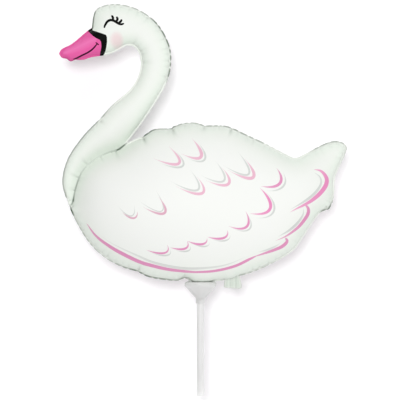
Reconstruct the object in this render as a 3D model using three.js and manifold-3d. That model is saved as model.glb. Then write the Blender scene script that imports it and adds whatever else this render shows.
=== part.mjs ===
// A foil balloon in the shape of a swan, with its cup and stick, lying on its back.
// Millimetres. X runs from beak to tail, Y from the stick's end up to the head, Z up through the foil.
import * as THREE from 'three';
import { mergeVertices } from 'three/addons/utils/BufferGeometryUtils.js';
import Module from 'manifold-3d';

const wasm = await Module();
wasm.setup();

// Balloon
const swanLength = 287.2; // tip of the beak to the far edge of the tail
const fullness = 0.85; // how round the gas presses the foil: 1 makes a long strip a round tube
const weldThickness = 0.5; // both sheets where they are welded together
const restDepth = 3; // how far the underside is pressed in where the balloon lies on it

// Filling tab, a flat tongue of both sheets at the belly weld
const tabWidth = 15;
const tabLength = 6.5;
const tabOffset = 31.7; // stick's axis to the middle of the tab

// Cup: a funnel with a short upright lip and a socket for the stick
const rimDiameter = 32;
const lipHeight = 4.4;
const coneHeight = 12.4;
const cupWall = 1.2;
const socketLength = 5;
const socketWall = 0.6;

// Stick: a plain tube
const stickDiameter = 7.6;
const stickBore = 5.6;
const stickLength = 101.5;
const stickInsertion = 9; // length of stick that is hidden in the cup

// Clearances
const seatGap = 0.3; // belly weld to the cup's rim
const socketGap = 0.2; // stick to its socket, on the radius

// Fineness of the facets
const rimSpacing = 4.6; // along the outer weld
const meshSpacing = 6; // across the foil
const shoulderInset = 1.5; // first row of points in from a weld
const roundSides = 32;
const samePoint = 0.001; // points nearer than this are one

// The flat outline, clockwise from the forehead, drawn from the stick's axis and the belly weld.
// Each run is one smooth curve, and it ends where the next run starts.
const outlineRuns = [
  [ // knob over the beak
    [-112.4, 250.9], [-111.8, 253.2], [-110.1, 254.4],
  ],
  [ // crown, nape and back of the neck
    [-108.6, 253.8], [-106.9, 265.8], [-104.3, 271.8], [-97.5, 275.4], [-86, 277.3], [-65.5, 273.2],
    [-44.4, 258.9], [-31.2, 235], [-29.8, 217], [-35, 197], [-52.7, 167], [-64, 151.3], [-74, 138.3],
  ],
  [ // back and tail
    [-74, 138.3], [-66, 142.3], [-57, 145.7], [-46, 152], [-30, 153.4], [-10, 158.6], [4, 156.2],
    [26, 155], [46, 146.3], [66, 137.2], [84, 128], [94.5, 123.8], [104, 127.4], [119, 135.4], [132, 140.2],
    [141, 139.4], [146.2, 134.6], [144.3, 126], [134.6, 104], [133.7, 90], [132.3, 79.5], [128, 72.2],
  ],
  [ // rump
    [128, 72.2], [120.6, 69.6], [103.5, 46], [94.5, 33], [84, 25.2], [54, 10.8], [24, 1.5], [5, 0], [-8, 0.3],
    [-12.5, 2.2], [-16, 5.6],
  ],
  [ // belly
    [-16, 5.6], [-19, 2.4], [-23, 1.1], [-38, 2.5], [-53, 5.5], [-63.5, 10.6], [-77, 14.6], [-96, 24.8],
    [-112, 40.4], [-128, 67.5], [-131.2, 75],
  ],
  [ // breast, front of the neck and throat
    [-131.2, 75], [-134.5, 83.5], [-138.3, 99.5], [-133.2, 122], [-117.5, 145.5], [-99.5, 164.3],
    [-89, 176], [-67, 196], [-59.4, 213], [-60.4, 227.5], [-65.8, 234.8], [-72, 236.3],
    [-88.5, 228.3], [-98, 226],
  ],
  [ // beak
    [-98, 226], [-110.5, 224.2], [-119, 222.3], [-125, 222.7], [-129.7, 220.9], [-134.5, 223.8],
    [-139.4, 225], [-140.9, 228.6], [-138.2, 232.2], [-130.5, 235.8], [-121, 243],
  ],
];

// Weld between the neck and the body, from the breast up to the nape
const neckWeld = [
  [-131.2, 75], [-128.4, 78], [-125, 93], [-118, 110.5], [-104.2, 123.1], [-89, 130.2], [-83, 131.5], [-74, 138.3],
];

// Points in the plane

const distance = (a, b) => Math.hypot(a[0] - b[0], a[1] - b[1]);

function smoothCurve(points) {
  return new THREE.CatmullRomCurve3(points.map(([x, y]) => new THREE.Vector3(x, y, 0)), false, 'centripetal');
}

function sampleCurve(points, spacing) {
  const curve = smoothCurve(points);
  const steps = Math.max(1, Math.round(curve.getLength() / spacing));
  return curve.getSpacedPoints(steps).map((p) => [p.x, p.y]);
}

function sampleRuns(runs, spacing) {
  return runs.flatMap((run, index) => {
    const closed = [...run, runs[(index + 1) % runs.length][0]];
    const unique = closed.filter((p, i) => i === 0 || distance(p, closed[i - 1]) > samePoint);
    return sampleCurve(unique, spacing).slice(0, -1);
  });
}

function isInside(point, polygon) {
  let inside = false;
  polygon.forEach((a, i) => {
    const b = polygon[(i + 1) % polygon.length];
    const crosses = (a[1] > point[1]) !== (b[1] > point[1]);
    if (crosses && point[0] < a[0] + ((b[0] - a[0]) * (point[1] - a[1])) / (b[1] - a[1])) inside = !inside;
  });
  return inside;
}

function distanceToLine(point, line) {
  let nearest = Infinity;
  for (let i = 1; i < line.length; i++) {
    const [a, b] = [line[i - 1], line[i]];
    const [dx, dy] = [b[0] - a[0], b[1] - a[1]];
    const along = ((point[0] - a[0]) * dx + (point[1] - a[1]) * dy) / (dx * dx + dy * dy);
    const t = THREE.MathUtils.clamp(along, 0, 1);
    nearest = Math.min(nearest, distance(point, [a[0] + t * dx, a[1] + t * dy]));
  }
  return nearest;
}

function offsetLine(line, offset) {
  return line.slice(1).map((b, i) => {
    const a = line[i];
    const length = distance(a, b);
    const normal = [-(b[1] - a[1]) / length, (b[0] - a[0]) / length];
    return [(a[0] + b[0]) / 2 + normal[0] * offset, (a[1] + b[1]) / 2 + normal[1] * offset];
  });
}

// Outline with the tab let into it in place of the points above it
function addTab(outline, [left, right]) {
  const foot = Math.min(left[1], right[1]) - tabLength;
  const margin = rimSpacing / 3;
  const roof = Math.max(left[1], right[1]) + tabWidth;
  const isOverTab = ([x, y]) => x > left[0] - margin && x < right[0] + margin && y < roof;
  const kept = outline.filter((p) => !isOverTab(p));
  kept.splice(outline.findIndex(isOverTab), 0, right, [right[0], foot], [left[0], foot], left);
  return kept;
}

function heightOfBelly(outline, x) {
  let height = Infinity;
  outline.forEach((a, i) => {
    const b = outline[(i + 1) % outline.length];
    if ((a[0] - x) * (b[0] - x) > 0 || a[0] === b[0]) return;
    height = Math.min(height, a[1] + ((b[1] - a[1]) * (x - a[0])) / (b[0] - a[0]));
  });
  return height;
}

// Delaunay triangles over the points, each one counter-clockwise
function triangulate(points) {
  const reach = 20 * swanLength;
  const all = [...points, [-reach, -reach], [reach, -reach], [0, reach]];
  const makeTriangle = (a, b, c) => {
    const [[ax, ay], [bx, by], [cx, cy]] = [all[a], all[b], all[c]];
    const double = 2 * ((bx - ax) * (cy - ay) - (by - ay) * (cx - ax));
    const [bb, cc] = [(bx - ax) ** 2 + (by - ay) ** 2, (cx - ax) ** 2 + (cy - ay) ** 2];
    const ux = ((cy - ay) * bb - (by - ay) * cc) / double;
    const uy = ((bx - ax) * cc - (cx - ax) * bb) / double;
    return { corners: double > 0 ? [a, b, c] : [a, c, b], x: ax + ux, y: ay + uy, r2: ux * ux + uy * uy };
  };
  let triangles = [makeTriangle(points.length, points.length + 1, points.length + 2)];
  points.forEach(([x, y], index) => {
    const edges = new Map();
    const kept = [];
    for (const triangle of triangles) {
      if ((triangle.x - x) ** 2 + (triangle.y - y) ** 2 >= triangle.r2) {
        kept.push(triangle);
        continue;
      }
      triangle.corners.forEach((a, k) => {
        const b = triangle.corners[(k + 1) % 3];
        const twin = `${b},${a}`;
        if (!edges.delete(twin)) edges.set(`${a},${b}`, [a, b]);
      });
    }
    triangles = [...kept, ...[...edges.values()].map(([a, b]) => makeTriangle(a, b, index))];
  });
  return triangles.map((t) => t.corners).filter((corners) => corners.every((i) => i < points.length));
}

function indexPoints(lines, loosePoints) {
  const points = [];
  const known = new Map();
  const place = (p) => {
    const key = p.map((value) => Math.round(value / samePoint)).join();
    if (!known.has(key)) known.set(key, points.push(p) - 1);
    return known.get(key);
  };
  const chains = lines.map((line) => line.map(place));
  const heldCount = points.length;
  loosePoints.forEach(place);
  return { points, chains, heldCount };
}

// Triangles that keep every edge of the lines: an edge that they miss is halved until none is missing.
function triangulateAlong(lines, loosePoints) {
  const { points, chains, heldCount } = indexPoints(lines, loosePoints);
  const triangles = triangulate(points);
  const edges = new Set(triangles.flatMap(([a, b, c]) => [`${a},${b}`, `${b},${c}`, `${c},${a}`]));
  const isKept = (a, b) => edges.has(`${a},${b}`) || edges.has(`${b},${a}`);
  const halved = chains.map((chain) => chain.flatMap((b, i) => {
    const a = chain[i - 1];
    if (i === 0 || isKept(a, b)) return [points[b]];
    return [[(points[a][0] + points[b][0]) / 2, (points[a][1] + points[b][1]) / 2], points[b]];
  }));
  const isWhole = halved.every((line, i) => line.length === lines[i].length);
  return isWhole ? { points, triangles, heldCount } : triangulateAlong(halved, loosePoints);
}

// Height of a skin held down at the first points and pushed up evenly at the others
function puffUp(points, triangles, heldCount) {
  const loads = points.map(() => 0);
  const links = points.map(() => new Map());
  for (const corners of triangles) {
    corners.forEach((i, k) => {
      const [j, o] = [corners[(k + 1) % 3], corners[(k + 2) % 3]];
      const [ix, iy] = [points[i][0] - points[o][0], points[i][1] - points[o][1]];
      const [jx, jy] = [points[j][0] - points[o][0], points[j][1] - points[o][1]];
      const double = ix * jy - iy * jx;
      const weight = (ix * jx + iy * jy) / double / 2;
      loads[i] += double / 6;
      links[i].set(j, (links[i].get(j) ?? 0) + weight);
      links[j].set(i, (links[j].get(i) ?? 0) + weight);
    });
  }
  const pressure = points.map(() => 0);
  const overRelaxation = 1.9;
  const sweeps = 500;
  for (let sweep = 0; sweep < sweeps; sweep++) {
    for (let i = heldCount; i < points.length; i++) {
      let [sum, total] = [loads[i], 0];
      for (const [j, weight] of links[i]) {
        sum += weight * pressure[j];
        total += weight;
      }
      pressure[i] += overRelaxation * (sum / total - pressure[i]);
    }
  }
  return pressure.map((value) => Math.sqrt(2 * Math.max(0, value)));
}

// Two sheets over the same triangles, closed by a thin wall round the weld
function pillowGeometry(points, triangles, heights) {
  const count = points.length;
  const vertices = [];
  for (const side of [1, -1]) {
    points.forEach(([x, y], i) => vertices.push(x, y, side * (heights[i] + weldThickness / 2)));
  }
  const faces = [];
  const rim = new Map();
  for (const [a, b, c] of triangles) {
    faces.push(a, b, c, count + a, count + c, count + b);
    for (const [i, j] of [[a, b], [b, c], [c, a]]) {
      if (!rim.delete(`${j},${i}`)) rim.set(`${i},${j}`, [i, j]);
    }
  }
  for (const [i, j] of rim.values()) faces.push(i, count + i, count + j, i, count + j, j);
  const geometry = new THREE.BufferGeometry();
  geometry.setAttribute('position', new THREE.Float32BufferAttribute(vertices, 3));
  geometry.setIndex(faces);
  return geometry;
}

// Solids

function weldedVertices(geometry) {
  const bare = geometry.clone();
  bare.deleteAttribute('normal');
  bare.deleteAttribute('uv');
  return mergeVertices(bare, samePoint);
}

function toManifold(geometry) {
  const bare = weldedVertices(geometry);
  const triVerts = Uint32Array.from(bare.index.array);
  const vertProperties = Float32Array.from(bare.attributes.position.array);
  return new wasm.Manifold(new wasm.Mesh({ numProp: 3, vertProperties, triVerts }));
}

function fromManifold(solid) {
  const { vertProperties, triVerts } = solid.getMesh();
  const geometry = new THREE.BufferGeometry();
  geometry.setAttribute('position', new THREE.Float32BufferAttribute(vertProperties, 3));
  geometry.setIndex(Array.from(triVerts));
  return geometry;
}

function turnedGeometry(profile) {
  const points = [...profile, profile[0]].map(([radius, y]) => new THREE.Vector2(radius, y));
  return weldedVertices(new THREE.LatheGeometry(points, roundSides));
}

function scaledRuns() {
  const xs = sampleRuns(outlineRuns, rimSpacing).map(([x]) => x);
  const scale = swanLength / (Math.max(...xs) - Math.min(...xs));
  const scalePoint = ([x, y]) => [x * scale, y * scale];
  return { runs: outlineRuns.map((run) => run.map(scalePoint)), weld: neckWeld.map(scalePoint) };
}

function envelopeGeometry(plainOutline, weld) {
  const tabRoot = [tabOffset - tabWidth / 2, tabOffset + tabWidth / 2]
    .map((x) => [x, heightOfBelly(plainOutline, x)]);
  const outline = addTab(plainOutline, tabRoot);
  const plainRing = [...plainOutline, plainOutline[0]];
  const weldLine = sampleCurve(weld, rimSpacing);

  const inTheGas = (p, gap) => isInside(p, plainOutline)
    && distanceToLine(p, plainRing) > gap
    && distanceToLine(p, weldLine) > gap;
  const shoulders = [
    ...offsetLine(plainRing, -shoulderInset),
    ...offsetLine(weldLine, shoulderInset),
    ...offsetLine(weldLine, -shoulderInset),
  ].filter((p) => inTheGas(p, 0.9 * shoulderInset));

  const lattice = [];
  const rowHeight = (meshSpacing * Math.sqrt(3)) / 2;
  const rows = Math.ceil(swanLength / rowHeight);
  const columns = Math.ceil(swanLength / meshSpacing);
  for (let row = 0; row <= rows; row++) {
    for (let column = -columns; column <= columns; column++) {
      const p = [(column + (row % 2) / 2) * meshSpacing, row * rowHeight];
      if (inTheGas(p, shoulderInset + meshSpacing / 2)) lattice.push(p);
    }
  }

  const lines = [[...outline, outline[0]], weldLine, sampleCurve(tabRoot, rimSpacing)];
  const { points, triangles, heldCount } = triangulateAlong(lines, [...shoulders, ...lattice]);
  const covered = triangles.filter((corners) => {
    const middle = [0, 1].map((axis) => corners.reduce((sum, i) => sum + points[i][axis], 0) / 3);
    return isInside(middle, outline);
  });
  const heights = puffUp(points, covered, heldCount).map((height) => height * fullness);
  return pillowGeometry(points, covered, heights);
}

function flattenUnderside(geometry) {
  geometry.computeBoundingBox();
  const { min, max } = geometry.boundingBox;
  const floor = new THREE.BoxGeometry(2 * (max.x - min.x), 2 * (max.y - min.y), 2 * restDepth);
  floor.translate((max.x + min.x) / 2, (max.y + min.y) / 2, min.z);
  return fromManifold(toManifold(geometry).subtract(toManifold(floor)));
}

function cupProfile(rimTop) {
  const rim = rimDiameter / 2;
  const bore = stickDiameter / 2 + socketGap;
  const socket = bore + socketWall;
  const coneTop = rimTop - lipHeight;
  const coneFoot = coneTop - coneHeight;
  const foot = coneFoot - socketLength;
  return [
    [rim, rimTop], [rim - cupWall, rimTop], [rim - cupWall, coneTop], [bore, coneFoot], [bore, foot],
    [socket, foot], [socket, coneFoot], [rim, coneTop],
  ];
}

function stickProfile(rimTop) {
  const top = rimTop - lipHeight - coneHeight - socketLength + stickInsertion;
  const [outer, inner] = [stickDiameter / 2, stickBore / 2];
  return [[outer, top], [inner, top], [inner, top - stickLength], [outer, top - stickLength]];
}

// The rim meets the lowest part of the weld that crosses it.
function rimHeight(outline) {
  const [inner, outer] = [rimDiameter / 2 - cupWall, rimDiameter / 2];
  const crossings = [-outer, -inner, inner, outer].map((x) => heightOfBelly(outline, x));
  return Math.min(...crossings) - seatGap;
}

function addPiece(group, name, geometry, material) {
  const mesh = new THREE.Mesh(geometry, material);
  mesh.name = name;
  group.add(mesh);
}

const foil = new THREE.MeshStandardMaterial({ color: 0xf6f8f4, roughness: 0.3, metalness: 0.1 });
const frostedPlastic = new THREE.MeshStandardMaterial({ color: 0xd9dad9, roughness: 0.45, metalness: 0 });
const whitePlastic = new THREE.MeshStandardMaterial({ color: 0xeeefee, roughness: 0.35, metalness: 0 });

const { runs, weld } = scaledRuns();
const swanOutline = sampleRuns(runs, rimSpacing);
const rimTop = rimHeight(swanOutline);

const swan = new THREE.Group();
addPiece(swan, 'balloon_envelope', flattenUnderside(envelopeGeometry(swanOutline, weld)), foil);
addPiece(swan, 'cup', turnedGeometry(cupProfile(rimTop)), frostedPlastic);
addPiece(swan, 'stick', turnedGeometry(stickProfile(rimTop)), whitePlastic);

// The origin is under the middle of the whole, at the surface it lies on.
const bounds = new THREE.Box3().setFromObject(swan);
const middle = bounds.getCenter(new THREE.Vector3());
swan.position.set(-middle.x, -middle.y, -bounds.min.z);

export default swan;
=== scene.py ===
"""A foil balloon in the form of a swan, on a plastic cup and stick, lying on its back on a white table.

Lengths are in metres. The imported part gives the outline, the welds and the places of the cup and the stick.
"""

import math
import random

import bpy
import numpy as np
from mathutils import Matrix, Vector
from mathutils.bvhtree import BVHTree
from mathutils.geometry import delaunay_2d_cdt
from mathutils.kdtree import KDTree


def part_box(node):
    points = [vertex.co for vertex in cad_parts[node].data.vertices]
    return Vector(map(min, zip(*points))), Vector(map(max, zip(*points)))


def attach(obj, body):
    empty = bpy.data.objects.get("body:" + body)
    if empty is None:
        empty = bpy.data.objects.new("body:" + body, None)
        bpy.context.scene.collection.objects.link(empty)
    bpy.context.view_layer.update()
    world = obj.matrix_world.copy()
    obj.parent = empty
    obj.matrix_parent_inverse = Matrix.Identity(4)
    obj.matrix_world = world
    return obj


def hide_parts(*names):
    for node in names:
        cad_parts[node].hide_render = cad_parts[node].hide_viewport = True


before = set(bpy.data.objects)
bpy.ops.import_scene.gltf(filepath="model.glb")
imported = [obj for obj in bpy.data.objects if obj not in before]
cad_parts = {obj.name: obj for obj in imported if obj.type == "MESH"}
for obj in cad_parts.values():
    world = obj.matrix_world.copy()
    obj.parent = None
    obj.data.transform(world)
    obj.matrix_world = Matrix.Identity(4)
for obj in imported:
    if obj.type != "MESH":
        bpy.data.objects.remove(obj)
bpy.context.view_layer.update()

MM = 0.001

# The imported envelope: how near its welded points lie to the weld's plane, and which turns are corners
WELD_BAND = 0.3 * MM
SHARP_CORNER = math.radians(66)
SHARP_NOTCH = math.radians(34)

# The film: its fullness, its weld's thickness, the flat flange along the rim, the width of the band of
# painted dark shade at the rim's edge, and half the width of the weld between neck and body
FULLNESS = 0.85
WELD_THICKNESS = 0.3 * MM
FLANGE_WIDTH = 1.8 * MM
FLANGE_LINE = 1.0 * MM
CREASE_WIDTH = 0.35 * MM

# The fine mesh of the film
RIM_STEP = 1.1 * MM
GRID_STEP = 1.3 * MM
CURVE_STEPS = 12
SHOULDER_ROWS = [0.14 * MM, 0.45 * MM, 1.0 * MM, 1.9 * MM, 3.1 * MM]  # rows of points inside each weld
ROW_SHARE = 0.985  # a row keeps the points whose own weld is nowhere nearer than this share of its gap
RIM_CLEARANCE = 0.9 * MM  # between the rows and the rim
FIELD_CLEARANCE = 0.6 * GRID_STEP  # between the rows and the even field
PRINT_CLEARANCE = 0.5 * MM  # between these points and the edges of the print
INSIDE_ONLY = 1  # the kind of triangulation that keeps the triangles inside the outline
MERGE_GAP = 1e-7

# The view of the photograph: 400 by 400 pixels, and one pixel is a millimetre at the height of the weld
PHOTO_ZERO = (203.23, 200.1)  # shows the point of the weld's plane that is over the frame's origin
PHOTO_MIDDLE = (200, 200)
PHOTO_WIDTH = 400 * MM
CAMERA_HEIGHT = 2.2  # above the weld's plane
SENSOR = 36.0

CUP_LOW, CUP_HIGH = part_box("cup")
STICK_LOW, STICK_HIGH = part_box("stick")
AXIS_X = (STICK_LOW.x + STICK_HIGH.x) / 2
SEAM = (STICK_LOW.z + STICK_HIGH.z) / 2  # the height of the weld's plane, in which the stick's axis lies too


def seam_place(px, py):
    """The place in the plane of the weld that shows at a pixel of the photograph."""
    return Vector(((px - PHOTO_ZERO[0]) * MM, (PHOTO_ZERO[1] - py) * MM, SEAM))


CAMERA_PLACE = seam_place(*PHOTO_MIDDLE) + Vector((0, 0, CAMERA_HEIGHT))


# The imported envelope, read as points and triangles

def merged_mesh(node):
    """The node's corners, each once, and its triangles."""
    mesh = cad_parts[node].data
    corners = np.empty(len(mesh.vertices) * 3)
    mesh.vertices.foreach_get("co", corners)
    mesh.calc_loop_triangles()
    triangles = np.empty(len(mesh.loop_triangles) * 3, dtype=int)
    mesh.loop_triangles.foreach_get("vertices", triangles)
    rounded = np.round(corners.reshape(-1, 3), decimals=5)
    points, place = np.unique(rounded, axis=0, return_inverse=True)
    return points, place.ravel()[triangles].reshape(-1, 3)


def outline_and_welds(points, triangles):
    """The outline of the front sheet as a loop of points, and the other welded points inside it."""
    rise = points[:, 2] - SEAM
    side = np.where(np.abs(rise) < WELD_BAND, np.sign(rise), 0).astype(int)
    following = {}
    for triangle in triangles:
        sides = side[triangle]
        if (sides == 0).any() or abs(sides.sum()) == 3:
            continue
        for start, end in zip(triangle, np.roll(triangle, -1)):
            if side[start] > 0 and side[end] > 0:
                following[end] = start
    loop = [next(iter(following))]
    while following[loop[-1]] != loop[0]:
        loop.append(following[loop[-1]])
    welded = [k for k in range(len(points)) if side[k] > 0 and k not in following]
    return points[loop][:, :2], points[welded][:, :2]


def lengths_along(points):
    """How far along a line each of its points lies."""
    steps = np.linalg.norm(np.diff(points, axis=0), axis=1)
    return np.concatenate(([0], np.cumsum(steps)))


def smooth_line(points, step):
    """A smooth line through the points, as points that are evenly spaced at about that step."""
    points = np.asarray(points, float)
    if len(points) > 2:
        before = 2 * points[0] - points[1]
        after = 2 * points[-1] - points[-2]
        padded = np.vstack((before, points, after))
        pieces = []
        for a, b, c, d in zip(padded, padded[1:], padded[2:], padded[3:]):
            t = np.linspace(0, 1, CURVE_STEPS, endpoint=False)[:, None]
            pieces.append(0.5 * (2 * b + (c - a) * t + (2 * a - 5 * b + 4 * c - d) * t**2
                                 + (3 * b - a - 3 * c + d) * t**3))
        points = np.vstack(pieces + [points[-1:]])
    along = lengths_along(points)
    count = max(2, int(round(along[-1] / step)) + 1)
    wanted = np.linspace(0, along[-1], count)
    return np.column_stack([np.interp(wanted, along, points[:, k]) for k in range(points.shape[1])])


def turns_of(loop):
    """How far a closed line turns at each of its points, to the left."""
    ahead = np.roll(loop, -1, 0) - loop
    behind = loop - np.roll(loop, 1, 0)
    cross = behind[:, 0] * ahead[:, 1] - behind[:, 1] * ahead[:, 0]
    return np.arctan2(cross, (behind * ahead).sum(1))


def normals_of(line, closed):
    """Unit vectors to the left of a line, at each of its points."""
    if closed:
        ahead = np.roll(line, -1, 0) - np.roll(line, 1, 0)
    else:
        ahead = np.gradient(line, axis=0)
    return np.column_stack((-ahead[:, 1], ahead[:, 0])) / np.linalg.norm(ahead, axis=1)[:, None]


def smooth_loop(loop, step):
    """The closed line made smooth between its sharp corners, and the corners themselves."""
    turns = turns_of(loop)
    sharp = np.flatnonzero((turns > SHARP_CORNER) | (turns < -SHARP_NOTCH))
    pieces = []
    for start, end in zip(sharp, np.append(sharp[1:], sharp[0] + len(loop))):
        run = loop[np.arange(start, end + 1) % len(loop)]
        pieces.append(smooth_line(run, step)[:-1])
    return np.vstack(pieces), loop[sharp]


def values_along(loop, anchors, values):
    """Values given at some pixels on a closed line, spread evenly between them over all its points."""
    along = lengths_along(np.vstack((loop, loop[:1])))
    places = np.array([seam_place(*pixel).xy for pixel in anchors])
    at = np.linalg.norm(loop[:, None] - places, axis=2).argmin(0)
    return np.interp(along[:-1], along[at], values, period=along[-1])


# How far the outline is let out, in mm, at pixels along it: the photograph shows more film than the solid has
OUTSETS = [
    ((92, 28), 0), ((83, 36), 0.7), ((84, 59), 0.7), ((93, 57), 0), ((128, 45), 0), ((136, 48), 0.8),
    ((141, 60), 1), ((139, 77), 0.6), ((128, 92), 0),
    ((69, 207), 0), ((80, 227), 0.4), ((100, 253), 0.6), ((158, 278), 0.6), ((181, 279), 0.2),
    ((185, 276), 1.8), ((188, 279), 0.2), ((195, 281.5), 4), ((206, 282), 4), ((215, 281.5), 0.2),
    ((225, 280), 0), ((225, 287), 1.2), ((240, 287), 2.4), ((240, 276), 0), ((250, 273), 0.6),
    ((262, 268), 0.6), ((294, 250), 0.2), ((344, 158), 0), ((345, 145), 0.3), ((332, 141), 0.3),
    ((295, 158), 0), ((270, 146), 0.4), ((245, 134), 0.7), ((225, 126), 0.7), ((205, 125), 0.2),
    ((199, 124), 1), ((191, 123), 0.5), ((181, 125), 1.5), ((174, 127.5), 1.2), ((170.5, 128.5), 0.2),
    ((160, 129), 0.3), ((151, 131), 0.6),
    ((135, 139), 0), ((161, 94), 0), ((168, 77), 0.4), ((155, 22), 0.4), ((131, 7), 0.5), ((100, 8), 0.5),
]


def let_out(loop):
    """The outline with each point moved out by the outset there."""
    outset = values_along(loop, *zip(*OUTSETS)) * MM
    return loop - normals_of(loop, True) * outset[:, None]


cad_points, cad_triangles = merged_mesh("balloon_envelope")
cad_loop, cad_welds = outline_and_welds(cad_points, cad_triangles)
if turns_of(cad_loop).sum() < 0:
    cad_loop = cad_loop[::-1]
OUTLINE, CORNERS = smooth_loop(cad_loop, RIM_STEP)
OUTLINE = let_out(OUTLINE)

# The tab: its corners are those beside the cup that lie less than TAB_RISE above the cup's rim, and the two
# highest of them, each within TAB_SLANT of one side, are the ends of its root
TAB_RISE = 9 * MM
TAB_SLANT = 3 * MM
TAB_CORNERS = CORNERS[(CORNERS[:, 1] < CUP_HIGH.y + TAB_RISE) & (CORNERS[:, 0] > CUP_HIGH.x)]
TAB_LEFT, TAB_RIGHT = TAB_CORNERS[:, 0].min(), TAB_CORNERS[:, 0].max()
TAB_ROOT_LEFT = max(TAB_CORNERS[TAB_CORNERS[:, 0] < TAB_LEFT + TAB_SLANT], key=lambda p: p[1])
TAB_ROOT_RIGHT = max(TAB_CORNERS[TAB_CORNERS[:, 0] > TAB_RIGHT - TAB_SLANT], key=lambda p: p[1])

# The weld between neck and body: from the notch behind the neck down the welded points well above the cup
NOTCH = (127, 143)
NECK_WELD_RISE = 20 * MM
neck_points = cad_welds[cad_welds[:, 1] > CUP_HIGH.y + NECK_WELD_RISE]
notch_corner = CORNERS[np.argmin(np.linalg.norm(CORNERS - seam_place(*NOTCH).xy, axis=1))]
neck_points = np.vstack((notch_corner, neck_points[np.argsort(-neck_points[:, 1])]))
NECK_WELD = smooth_line(neck_points, RIM_STEP)

CAD_SHAPE = BVHTree.FromPolygons([Vector(p) for p in cad_points], [list(t) for t in cad_triangles])


def film_place(px, py):
    """The plan place on the front film that shows at a pixel, or in the weld's plane beside the balloon."""
    target = seam_place(px, py)
    hit = CAD_SHAPE.ray_cast(CAMERA_PLACE, target - CAMERA_PLACE)[0]
    return (hit or target).xy


# The printed swan: strokes and fields, each a closed outline on the film with its colour

def linear(*srgb):
    """A colour of a screen, in steps of 0 to 255, as linear light."""
    return tuple((c / 255 / 12.92) if c <= 10 else (((c / 255) + 0.055) / 1.055) ** 2.4 for c in srgb)


PINK = linear(213, 141, 180)
STRONG_PINK = linear(220, 137, 182)
PALE_PINK = linear(221, 175, 194)
ROSE = linear(210, 164, 182)
SHADOW_GREY = linear(200, 203, 200)
PALE_GREY = linear(207, 211, 207)
MIST_GREY = linear(208, 211, 207)
BEAK_PINK = linear(220, 93, 158)
# a lighter pink, painted as a highlight along the beak
BEAK_PAINTED_HIGHLIGHT = linear(226, 114, 173)
BLACK = linear(2, 3, 2)
PLUM = linear(52, 8, 34)
BLUSH = linear(226, 209, 209)

THINNEST = 0.06  # the least share of its width that a stroke has at its ends

marks = []  # what is printed, the last on top: outline, colour, middle line, strength along it


def add_mark(outline, colour, line=None, strength=None):
    """Prints a closed outline of pixels in one colour."""
    places = np.array([film_place(*pixel) for pixel in outline])
    if turns_of(places).sum() < 0:
        places = places[::-1]
    marks.append({"outline": places, "colour": colour, "line": line, "strength": strength})


def stroke(points, width, colour, taper=(1, 1), fade=0.0, bulge=0.5, step=1.2):
    """A brush stroke: a smooth line through the pixels, widest at bulge along it and thin at its ends."""
    line = smooth_line(points, step)
    along = lengths_along(line)
    share = along / along[-1]
    rising = np.clip(share / bulge, 0, 1)
    falling = np.clip((1 - share) / (1 - bulge), 0, 1)
    shape = np.sin(rising * math.pi / 2) ** taper[0] * np.sin(falling * math.pi / 2) ** taper[1]
    half = width / 2 * np.maximum(shape, THINNEST)[:, None] * normals_of(line, False)
    outline = np.vstack((line + half, (line - half)[::-1]))
    middle = np.array([film_place(*pixel) for pixel in line])
    add_mark(outline, colour, middle, 1 - fade * (1 - shape))


def pen_line(points, width, colour):
    """A line of even width with round ends."""
    stroke(points, width, colour, taper=(0.2, 0.2), step=0.6)


FEATHER_ROUNDNESS = 0.65
FEATHER_STEPS = 33
FEATHER_BULGE = 0.56


def feather_line(tip, bend, top):
    """The lower edge of a feather: from its tip round the bend to its top, as a rational curve."""
    start, middle, end = (np.array(p, float) for p in (tip, bend, top))
    weight = FEATHER_ROUNDNESS
    pull = ((2 + 2 * weight) * middle - start - end) / (2 * weight)
    t = np.linspace(0, 1, FEATHER_STEPS)[:, None]
    scale = (1 - t) ** 2 + 2 * weight * t * (1 - t) + t**2
    return ((1 - t) ** 2 * start + 2 * weight * t * (1 - t) * pull + t**2 * end) / scale


def feather(tip, bend, top, width, colour, slimness, shade):
    """A printed feather: a pink line and, beside it, the grey line of its shadow."""
    *shifts, shade_width = shade
    moved = [(x + dx, y + dy) for (x, y), (dx, dy) in zip((tip, bend, top), shifts)]
    stroke(feather_line(*moved), shade_width, SHADOW_GREY, taper=(1.3, 1.3), fade=0.5, bulge=FEATHER_BULGE)
    stroke(feather_line(tip, bend, top), width, colour, taper=(slimness, slimness), fade=0.25,
           bulge=FEATHER_BULGE)


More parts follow.
